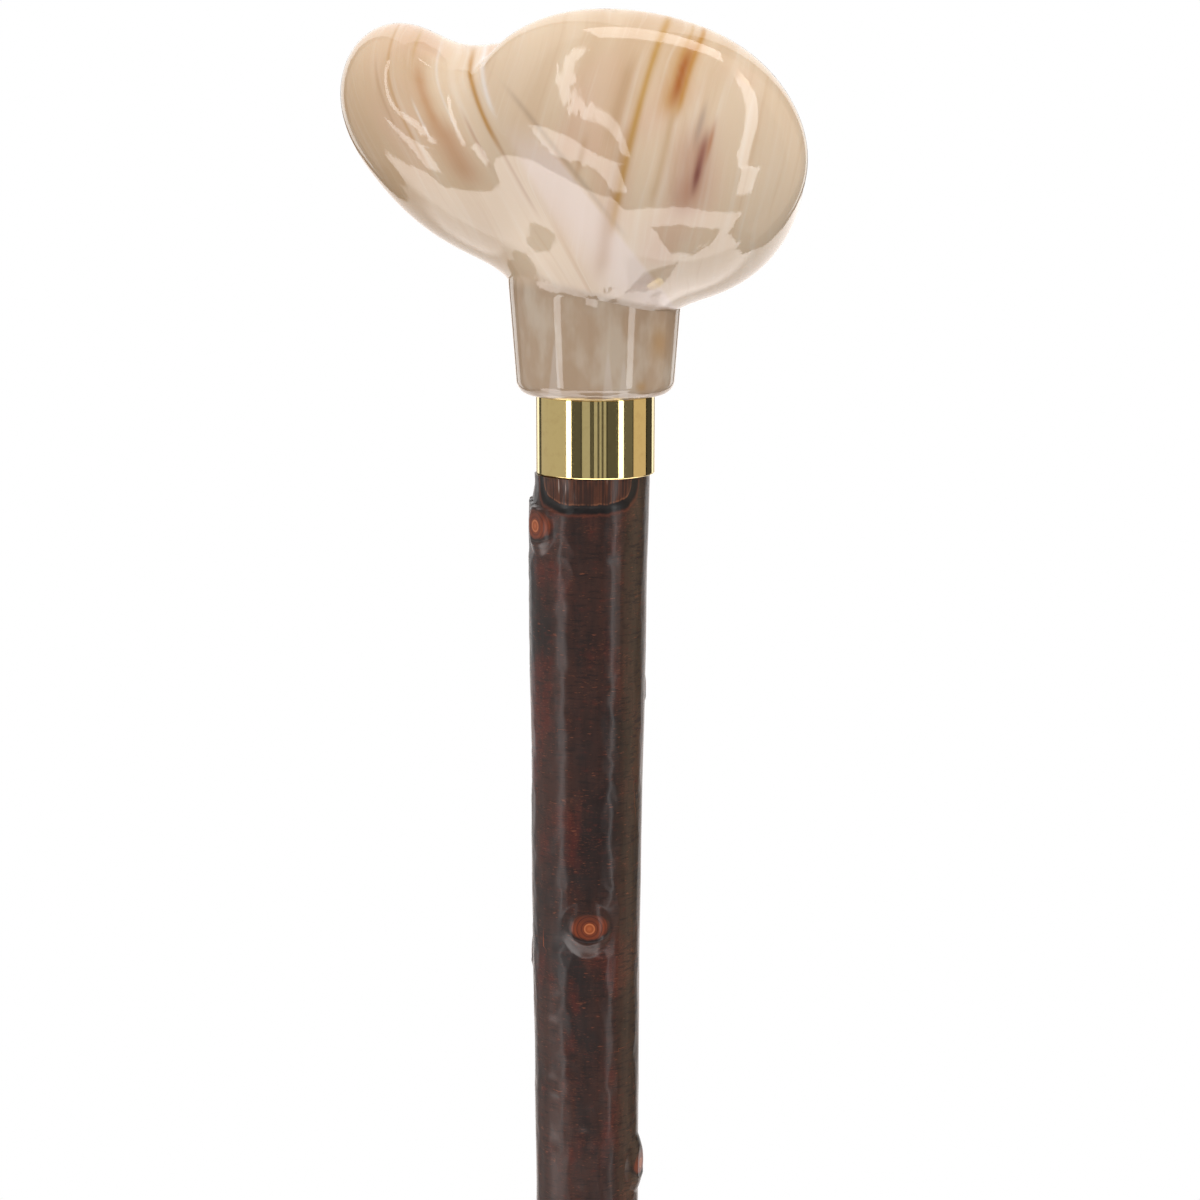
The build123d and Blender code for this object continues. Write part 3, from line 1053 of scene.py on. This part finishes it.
@dataclass
class Shaft:
    """The bark-on shaft, with its turned end, spigot and tenon. Sizes are millimetres."""

    sides: int = 96
    close_rows: tuple[int, int] = (16, 16)
    far_rows: tuple[int, int] = (21, 20)
    close_length: float = 172.0
    tube_radius: float = 20.0
    probe_radius: float = 50.0
    end_gap: float = 0.05
    sliver: float = 1.5
    turned_radius: float = 9.0
    turned_length: float = 31.5
    spigot_radius: float = 11.3
    tenon_radius: float = 8.0
    stud_hole_radius: float = 3.05
    stud_hole_depth: float = 78.0
    edge_bevel: float = 0.4
    top_lean: float = -1.3
    wander: tuple[float, float] = (-0.8, 1.5)
    knots: tuple[Knot, ...] = (Knot(26.0, 213.0, 1.1), Knot(61.0, 25.0), Knot(109.0, 273.0),
                               Knot(118.0, 160.0, 0.8), Knot(163.0, 345.0, 0.9))
    lower_start: float = 205.0
    lower_pitch: float = 84.0
    lower_turn: float = 137.5
    lower_end: float = 764.0
    knot_reach: float = 9.0
    knot_spread: float = 0.75
    knot_depth: float = 6.0
    scallops: tuple[Scallop, ...] = (Scallop(266.0, 48.0, 5.0), Scallop(132.0, 36.0, 3.4),
                                     Scallop(60.0, 34.0, 2.6))
    pared_limit: float = 20.0
    lip: float = 0.12
    lip_shape: tuple[float, float, float] = (0.27, 0.32, 0.2)
    lip_reach: float = 1.14
    lip_width: float = 0.13
    groove: float = 0.2
    groove_middle: float = 1.1
    groove_width: float = 0.8
    relief: tuple[tuple[str, float, float], ...] = (
        ("swell", 30.0, 0.6), ("ripple", 8.0, 0.09), ("grain", 2.2, 0.03))
    crease: float = 40.0
    neck_foot: float = field(init=False)
    foot: float = field(init=False)
    head: float = field(init=False)
    places: list[tuple[Knot, Vector, Vector, Vector]] = field(init=False)

    def build(self) -> bpy.types.Object:
        """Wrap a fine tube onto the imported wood, work its bark, and close it with its ends.

        Returns:
            The finished shaft.
        """
        low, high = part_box("shaft")
        self.neck_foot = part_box("handle")[0].z
        self.foot = low.z + self.turned_length * MM
        self.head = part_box("collar")[0].z
        self.places = [self._place(knot) for knot in self._all_knots()]
        model = Workpiece.copied("wood_model", "shaft")
        gap = self.end_gap * MM
        brim = self.head - self.sliver * MM
        work = Workpiece.turned("bark_shaft", self.tube_radius * MM, self.foot + gap, brim, self.sides,
                                fill="NOTHING")
        self._rows(work)
        work.modify("SHRINKWRAP", target=model.piece, wrap_method="PROJECT",
                    use_negative_direction=True, use_positive_direction=False,
                    use_project_x=False, use_project_y=False, use_project_z=False)
        bpy.data.objects.remove(model.piece)
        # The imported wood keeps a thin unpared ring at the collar, so the tube is drawn up past it.
        with work.edit(Pick.EDGES):
            self._open_edges(work, brim, gap)
            self._push(self.head - gap - brim)
        self._relief(work)
        self._ends(work, low.z, high.z)
        work.note("knot", Note.VECTOR, self._from_knot)
        work.note("pared", Note.NUMBER, self._pared)
        work.note("turned", Note.NUMBER, self._turned)
        work.smooth(self.crease)
        finish = VarnishedBark(origin=Vector((0.0, 0.0, self.neck_foot)))
        return work.finish(finish, Body.STICK, Slot.BARK, "shaft")

    def _all_knots(self) -> list[Knot]:
        """Return the knots below the collar, then those that go on down the shaft in a spiral.

        Returns:
            The knots from the top down.
        """
        knots = list(self.knots)
        below = self.lower_start
        while below <= self.lower_end:
            turns = (below - self.lower_start) / self.lower_pitch
            knots.append(Knot(below, turns * self.lower_turn % 360.0))
            below += self.lower_pitch
        return knots

    def _centre(self, height: float) -> Vector:
        """Return the wood's centre at a height, which wanders and ends on the axis.

        Args:
            height: The height in metres.

        Returns:
            The centre.
        """
        share = (self.head - height) / (self.head - self.foot)
        x = self.top_lean * (1.0 - share) + self.wander[0] * math.sin(3.0 * math.pi * share)
        y = self.wander[1] * math.sin(2.0 * math.pi * share)
        return Vector((x * MM, y * MM, height))

    def _place(self, knot: Knot) -> tuple[Knot, Vector, Vector, Vector]:
        """Return a knot with its centre on the bark, its outward and its sideways direction.

        Args:
            knot: The knot.

        Returns:
            The knot, its centre, its outward and its sideways direction.
        """
        turn = math.radians(knot.way)
        out = Vector((math.cos(turn), math.sin(turn), 0.0))
        side = Vector((-out.y, out.x, 0.0))
        centre = self._centre(self.neck_foot - knot.below * MM)
        start = centre + out * self.probe_radius * MM
        _, hit, _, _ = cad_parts["shaft"].ray_cast(start, -out)
        return knot, hit, out, side

    def _rows(self, work: Workpiece) -> None:
        """Cut the tube into rows, closer in the length that the camera sees and at the knots.

        Args:
            work: The tube.
        """
        split = self.head - self.close_length * MM
        with work.edit(Pick.FACES):
            bpy.ops.mesh.select_all(action="SELECT")
            bpy.ops.mesh.bisect(plane_co=(0, 0, split), plane_no=(0, 0, 1))
        for cuts, above in ((self.close_rows, True), (self.far_rows, False)):
            for count in cuts:
                with work.edit(Pick.EDGES):
                    work.pick(Pick.EDGES, lambda place, way, above=above: abs(way.z) > 0.9
                              and (place.z > split) == above)
                    bpy.ops.mesh.subdivide(number_cuts=count)
        with work.edit(Pick.FACES):
            work.pick(Pick.FACES, lambda place, _: self._near_knot(place))
            bpy.ops.mesh.subdivide(number_cuts=1)

    def _near_knot(self, place: Vector) -> bool:
        """Say whether a point of the tube lies over a knot.

        Args:
            place: The point.

        Returns:
            Whether it does.
        """
        for _, hit, out, side in self.places:
            offset = place - hit
            if abs(offset.z) < self.knot_reach * MM and offset.dot(out) > 0.0 \
                    and abs(math.atan2(place.dot(side), place.dot(out))) < self.knot_spread:
                return True
        return False

    def _from_knot(self, place: Vector) -> Vector:
        """Return a point's place across and up from the nearest knot, and that knot's size.

        Args:
            place: The point.

        Returns:
            The place across, the place up and the size.
        """
        best, found = 1.0, Vector((50.0, 50.0, 1.0))
        for knot, hit, out, side in self.places:
            offset = place - hit
            if offset.length < best and offset.dot(out) > -self.knot_depth * MM:
                best = offset.length
                found = Vector((offset.dot(side) / MM, offset.z / MM, knot.size))
        return found

    def _pared(self, place: Vector) -> float:
        """Return how far inside the pared patch a point is, in millimetres.

        Args:
            place: The point.

        Returns:
            The distance to the patch's edge, negative outside it.
        """
        below = (self.head - place.z) / MM
        if below > self.pared_limit:
            return -self.pared_limit
        offset = place - self._centre(place.z)
        way = math.degrees(math.atan2(offset.y, offset.x))
        reach = -self.pared_limit
        for scallop in self.scallops:
            turn = (way - scallop.way + 180.0) % 360.0 - 180.0
            spread = math.radians(scallop.spread) * offset.xy.length / MM
            across, down = abs(turn) / scallop.spread, max(below, 0.0) / scallop.length
            radius = (across ** 3 + down ** 3) ** (1.0 / 3.0)
            if radius > 0.01:
                steep = math.hypot((across / radius) ** 2 / spread, (down / radius) ** 2 / scallop.length)
                reach = max(reach, (1.0 - radius) / steep)
        return reach

    def _turned(self, place: Vector) -> float:
        """Return 1 on the turned end, the spigot and the tenon, and 0 on the bark."""
        return 0.0 if self.foot < place.z < self.head else 1.0

    def _relief(self, work: Workpiece) -> None:
        """Raise the lips of the knots, cut in the pared edge, and roughen the bark.

        Args:
            work: The tube on the wood.
        """
        def lip(place: Vector) -> float:
            """Return the weight of the lip below a knot's face.

            Args:
                place: The point.

            Returns:
                The weight, from 0 to 1.
            """
            across, up, size = self._from_knot(place)
            wide, tall, middle = self.lip_shape
            reach = math.hypot(across / size * wide, (up / size - middle) * tall)
            ring = math.exp(-((reach - self.lip_reach) / self.lip_width) ** 2)
            return ring * min(1.0, max(0.0, -up / size / 2.0))

        def groove(place: Vector) -> float:
            """Return the weight of the groove below the pared patch."""
            return math.exp(-((self._pared(place) + self.groove_middle) / self.groove_width) ** 2)

        def rough(place: Vector) -> float:
            """Return the weight of the bark's relief, which stops at the cut faces.

            Args:
                place: The point.

            Returns:
                The weight, from 0 to 1.
            """
            across, up, size = self._from_knot(place)
            ends = min(1.0, (self.head - place.z) / MM / 2.0, (place.z - self.foot) / MM / 2.0)
            return max(0.0, ends) * min(1.0, max(0.15, (math.hypot(across, up) / size - 3.0) / 2.0))

        work.modify("DISPLACE", vertex_group=work.weigh("lip", lip), strength=self.lip * MM,
                    mid_level=0.0)
        work.modify("DISPLACE", vertex_group=work.weigh("groove", groove),
                    strength=-self.groove * MM, mid_level=0.0)
        group = work.weigh("rough", rough)
        for name, scale, strength in self.relief:
            texture = bpy.data.textures.new(name, "CLOUDS")
            texture.noise_scale = scale * MM
            texture.noise_depth = 1
            work.modify("DISPLACE", texture=texture, texture_coords="LOCAL", vertex_group=group,
                        strength=strength * MM, mid_level=0.5)

    def _ends(self, work: Workpiece, bottom: float, top: float) -> None:
        """Join the turned end, the spigot and the tenon to the open ends of the bark.

        Args:
            work: The bark, with its open ends.
            bottom: The height of the turned end's foot.
            top: The height of the tenon's head.
        """
        end = Workpiece.turned("turned_end", self.turned_radius * MM, bottom, self.foot, self.sides)
        with end.edit(Pick.EDGES):
            end.pick(Pick.EDGES, lambda place, way: place.z < bottom + 1e-6 and abs(way.z) < 0.1)
            bpy.ops.mesh.bevel(offset=self.edge_bevel * MM, segments=2)
        with end.edit(Pick.FACES):
            end.pick(Pick.FACES, lambda place, way: way.z > 0.9)
            bpy.ops.mesh.delete(type="ONLY_FACE")
        spigot = Workpiece.turned("spigot", self.spigot_radius * MM, self.head, self.neck_foot,
                                  self.sides)
        with spigot.edit(Pick.FACES):
            spigot.pick(Pick.FACES, lambda place, way: way.z > 0.9)
            bpy.ops.mesh.inset(thickness=(self.spigot_radius - self.tenon_radius) * MM)
            self._push(top - self.neck_foot)
            bpy.ops.mesh.inset(thickness=(self.tenon_radius - self.stud_hole_radius) * MM)
            self._push(-self.stud_hole_depth * MM)
        with spigot.edit(Pick.FACES):
            spigot.pick(Pick.FACES, lambda place, way: way.z < -0.9)
            bpy.ops.mesh.delete(type="ONLY_FACE")
        Workpiece.clear()
        for piece in (end.piece, spigot.piece, work.piece):
            piece.select_set(True)
        bpy.context.view_layer.objects.active = work.piece
        bpy.ops.object.join()
        gap = 2.0 * self.end_gap * MM
        for height in (self.foot, self.head):
            with work.edit(Pick.EDGES):
                self._open_edges(work, height, gap)
                bpy.ops.mesh.bridge_edge_loops()

    @staticmethod
    def _push(distance: float) -> None:
        """Extrude the selected face up, or down where the distance is negative."""
        bpy.ops.mesh.extrude_region_move(TRANSFORM_OT_translate={"value": (0.0, 0.0, distance)})

    @staticmethod
    def _open_edges(work: Workpiece, height: float, gap: float) -> None:
        """Select the open edges near a height.

        Args:
            work: The piece, in edit mode.
            height: The height.
            gap: How far from the height an edge may be.
        """
        mesh = bmesh.from_edit_mesh(work.piece.data)
        for edge in mesh.edges:
            close = all(abs(vertex.co.z - height) < gap for vertex in edge.verts)
            edge.select_set(edge.is_boundary and close)
        bmesh.update_edit_mesh(work.piece.data)


@dataclass
class Tip:
    """The rubber ferrule and the washer in it, and the steel stud in the neck."""

    crease: float = 35.0

    def build(self) -> list[bpy.types.Object]:
        """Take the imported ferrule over, and plate its washer and the stud in the neck.

        Returns:
            The finished pieces.
        """
        work = Workpiece.copied("rubber_tip", "ferrule")
        work.smooth(self.crease)
        pieces = [work.finish(BlackRubber(), Body.TIP, Slot.RUBBER, "ferrule")]
        for node in ("ferrule_washer", "joint_stud"):
            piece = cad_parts[node]
            piece.data.materials.clear()
            piece.data.materials.append(ZincSteel(f"zinc_steel_{node}").material())
            pieces.append(piece)
        return pieces


@dataclass(frozen=True)
class Card:
    """A stretch of the studio's surroundings: from and to which azimuth, and how bright it is.

    Azimuth is measured in degrees from the camera, to its right, as seen from the stick.
    """

    start: float
    end: float
    level: float
    warmth: float = 0.0


@dataclass(frozen=True)
class Strip:
    """A tall lamp: azimuth and half width at its foot, then above the horizon, and how they go up.

    It shines from foot to knee, below the horizon, and from rest to head. All are in degrees.
    """

    foot_way: float
    foot_half: float
    way: float
    half: float
    lean: float
    widening: float
    rest: float
    head: float
    foot: float = -22.5
    knee: float = -3.0


@dataclass
class Studio:
    """The camera, the light and the pale floor."""

    target: Vector = field(default_factory=lambda: Vector((0.92 * MM, 0.0, -42.4 * MM)))
    distance: float = 0.6
    pitch: float = 10.2
    lens: float = 87.9
    cards: tuple[Card, ...] = (
        Card(-180, -141, 1.25), Card(-138, -133, 0.12), Card(-130, -59, 0.47, 0.04),
        Card(-46, -28, 0.1), Card(-26, -10, 0.42), Card(-8, -5, 0.14), Card(-3, 4, 0.42),
        Card(5, 6.5, 0.14), Card(7.5, 12, 0.42), Card(13, 14.5, 0.14), Card(15.5, 21, 0.42),
        Card(23, 45, 0.1), Card(57, 77, 0.14), Card(79, 115, 0.52, 0.18),
        Card(119, 137, 0.06), Card(142, 180, 1.25))
    strips: tuple[Strip, ...] = (
        Strip(-53.0, 5.0, -41.8, 1.9, -0.0008, 0.0004, 2.5, 56.0),
        Strip(50.8, 4.8, 46.0, 3.0, 0.0125, 0.0026, -3.5, 54.0))
    overhead: tuple[float, float, float] = (20.0, -25.0, 137.0)
    overhead_size: tuple[float, float] = (80.0, 19.0)
    overhead_turn: float = 11.0
    overhead_colour: Colour = (1.0, 0.96, 0.92, 1.0)
    lamp_level: float = 4.4
    lamp_haze: float = 0.15
    card_softness: float = 0.6
    near_glow: Colour = (4.4, 4.1, 4.0, 1.0)
    far_glow: Colour = (1.3, 1.2, 1.15, 1.0)
    dark_band: Colour = (0.06, 0.04, 0.03, 1.0)
    brown_patch: Colour = (0.3, 0.15, 0.08, 1.0)
    floor_radius: float = 1.2
    floor_grey: Colour = (0.82, 0.82, 0.82, 1.0)
    floor_fade: tuple[float, float] = (120.0, 520.0)
    dome_level: float = 0.78
    dome_slope: float = 0.5

    def build(self) -> None:
        """Set the studio up round the stick."""
        neck_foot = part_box("handle")[0].z
        self._camera(neck_foot)
        self._light()
        self._overhead(neck_foot)
        self._floor()
        bpy.context.scene.view_settings.view_transform = "Standard"

    def _camera(self, neck_foot: float) -> None:
        """Place the camera at the photograph's angle.

        Args:
            neck_foot: The height of the neck's foot.
        """
        aim = self.target + Vector((0.0, 0.0, neck_foot))
        pitch = math.radians(self.pitch)
        data = bpy.data.cameras.new("camera")
        data.lens = self.lens
        data.sensor_width = 36.0
        data.clip_start = 0.01
        camera = bpy.data.objects.new("camera", data)
        camera.location = aim + Vector((0.0, -math.cos(pitch), math.sin(pitch))) * self.distance
        camera.rotation_euler = (math.radians(90.0) - pitch, 0.0, 0.0)
        bpy.context.scene.collection.objects.link(camera)
        bpy.context.scene.camera = camera

    def _light(self) -> None:
        """Light the stick by soft surroundings that the camera sees as white."""
        world = bpy.data.worlds.new("studio")
        world.use_nodes = True
        bpy.context.scene.world = world
        nodes = Nodes(world.node_tree)
        direction = nodes.add("ShaderNodeTexCoord").outputs["Generated"]
        x, y, z = nodes.split(direction)
        azimuth = x.call("ARCTAN2", 0.0 - y) * math.degrees(1.0)
        elevation = z.call("ARCSINE") * math.degrees(1.0)
        ring = self._ring(nodes, azimuth, elevation)
        ring = self._ground_glow(nodes, ring, azimuth, elevation)
        lit = nodes.add("ShaderNodeBackground", inputs={"Color": ring, "Strength": 1.0})
        white = nodes.add("ShaderNodeBackground", inputs={"Color": (1.0, 1.0, 1.0, 1.0)})
        level = z * self.dome_slope + self.dome_level
        dome = nodes.add("ShaderNodeBackground", inputs={"Color": nodes.join(level, level, level)})
        rays = nodes.add("ShaderNodeLightPath").outputs
        unseen = nodes.add("ShaderNodeMixShader", inputs={
            0: rays["Is Glossy Ray"], 1: dome.outputs[0], 2: lit.outputs[0]})
        both = nodes.add("ShaderNodeMixShader", inputs={
            0: rays["Is Camera Ray"], 1: unseen.outputs[0], 2: white.outputs[0]})
        nodes.add("ShaderNodeOutputWorld", inputs={"Surface": both.outputs[0]})

    def _ring(self, nodes: Nodes, azimuth: Signal, elevation: Signal) -> bpy.types.NodeSocket:
        """Return the colour of the cards round the horizon and of the two tall lamps.

        Args:
            nodes: The tree to add nodes to.
            azimuth: The direction round the stick, in degrees from the camera.
            elevation: The direction's height over the horizon, in degrees.

        Returns:
            The colour.
        """
        level: Signal | float = 0.0
        warm: Signal | float = 0.0
        soft = self.card_softness
        for card in self.cards:
            here = azimuth.rise(card.start - soft, card.start + soft)
            here = here * azimuth.rise(card.end + soft, card.end - soft)
            level = here * card.level + level
            if card.warmth:
                warm = here * card.warmth + warm
        square = elevation.most(0.0) * elevation.most(0.0)
        for strip in self.strips:
            low = elevation.rise(strip.knee + 1.5, strip.knee - 1.5)
            centre = square * strip.lean + strip.way + low * (strip.foot_way - strip.way)
            half = square * strip.widening + strip.half + low * (strip.foot_half - strip.half)
            wide = (abs(azimuth - centre) - half).rise(0.5, -0.5)
            tall = elevation.rise(strip.foot - 1.5, strip.foot + 1.5) \
                * elevation.rise(strip.knee + 1.0, strip.knee - 1.0) \
                + elevation.rise(strip.rest - 1.0, strip.rest + 1.0) \
                * elevation.rise(strip.head + 3.0, strip.head - 3.0)
            level = level + wide * (tall * self.lamp_level + self.lamp_haze)
        return nodes.join(level * (warm + 1.0), level, level * (1.0 - warm))

    def _ground_glow(self, nodes: Nodes, ring: bpy.types.NodeSocket, azimuth: Signal,
                     elevation: Signal) -> bpy.types.NodeSocket:
        """Return the colour with the bright ragged ground that the polished lobes mirror.

        Args:
            nodes: The tree to add nodes to.
            ring: The colour round the horizon.
            azimuth: The direction round the stick, in degrees from the camera.
            elevation: The direction's height over the horizon, in degrees.

        Returns:
            The colour.
        """
        ragged = nodes.noise((azimuth, elevation, 0.0), (0.09, 0.05, 1.0), detail=4.0, roughness=0.7)
        valley = azimuth.rise(-102.0, -92.0) * azimuth.rise(-56.0, -62.0)
        edge = valley * 10.0 - azimuth.rise(57.0, 64.0) * 19.0 - 35.0
        edge = edge + azimuth.rise(112.0, 176.0) * 52.0 + azimuth.rise(-130.0, -178.0) * 35.0
        over = elevation - edge + (ragged - 0.5) * 11.0
        outside = azimuth.rise(-34.0, -40.0) + azimuth.rise(58.0, 64.0)
        ring = nodes.mix(ring, self.dark_band, over.rise(9.0, 5.0) * outside * (1.0 - valley))
        near = abs(azimuth).rise(110.0, 85.0).most(elevation.rise(-38.0, -48.0) * 0.6)
        glow = nodes.mix(self.far_glow, self.near_glow, near)
        ring = nodes.mix(ring, glow, over.rise(0.7, -0.7))
        patch = (abs(azimuth + (ragged - 0.5) * 60.0 - 8.0) - 44.0).rise(2.0, -2.0)
        patch = patch * (elevation + ragged * 8.0).rise(-46.0, -48.0) * elevation.rise(-82.0, -78.0)
        return nodes.mix(ring, self.brown_patch, patch)

    def _overhead(self, neck_foot: float) -> None:
        """Hang a lamp over the grip that only polished surfaces see.

        Args:
            neck_foot: The height of the neck's foot.
        """
        Workpiece.clear()
        x, y, z = self.overhead
        bpy.ops.mesh.primitive_plane_add(size=1.0, location=(x * MM, y * MM, neck_foot + z * MM),
                                         rotation=(0.0, 0.0, math.radians(self.overhead_turn)))
        lamp = bpy.context.object
        lamp.name = "overhead_lamp"
        lamp.scale = (self.overhead_size[0] * MM, self.overhead_size[1] * MM, 1.0)
        bpy.ops.object.transform_apply(location=True, rotation=True, scale=True)
        lamp.visible_camera = False
        lamp.visible_diffuse = False
        lamp.visible_shadow = False
        lamp.visible_transmission = False
        made = bpy.data.materials.new("overhead_lamp")
        made.use_nodes = True
        nodes = Nodes(made.node_tree)
        glow = nodes.add("ShaderNodeEmission",
                         inputs={"Color": self.overhead_colour, "Strength": self.lamp_level})
        nodes.add("ShaderNodeOutputMaterial", inputs={"Surface": glow.outputs[0]})
        lamp.data.materials.append(made)

    def _floor(self) -> None:
        """Lay a pale round floor that fades into the white and is clear from below."""
        Workpiece.clear()
        bpy.ops.mesh.primitive_circle_add(vertices=96, radius=self.floor_radius, fill_type="NGON")
        floor = bpy.context.object
        floor.name = "floor"
        floor.visible_glossy = False
        floor.visible_diffuse = False
        made = bpy.data.materials.new("floor")
        made.use_nodes = True
        nodes = Nodes(made.node_tree)
        x, y, _ = nodes.place(Vector())
        reach = (x * x + y * y).call("SQRT")
        matt = nodes.add("ShaderNodeBsdfDiffuse", inputs={"Color": self.floor_grey})
        white = nodes.add("ShaderNodeEmission", inputs={"Color": (1.0, 1.0, 1.0, 1.0)})
        clear = nodes.add("ShaderNodeBsdfTransparent")
        top = nodes.add("ShaderNodeMixShader", inputs={
            0: reach.rise(*self.floor_fade), 1: matt.outputs[0], 2: white.outputs[0]})
        under = nodes.add("ShaderNodeNewGeometry").outputs["Backfacing"]
        both = nodes.add("ShaderNodeMixShader", inputs={0: under, 1: top.outputs[0], 2: clear.outputs[0]})
        nodes.add("ShaderNodeOutputMaterial", inputs={"Surface": both.outputs[0]})
        floor.data.materials.append(made)


def main() -> None:
    """Build the stick's pieces in order and set up the studio."""
    logging.basicConfig(level=logging.INFO, format="%(name)s: %(message)s")
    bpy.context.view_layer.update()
    for part in (Grip(), Collar(), Shaft(), Tip()):
        part.build()
        LOG.info("built %s", type(part).__name__)
    Studio().build()


if __name__ == "__main__":
    main()
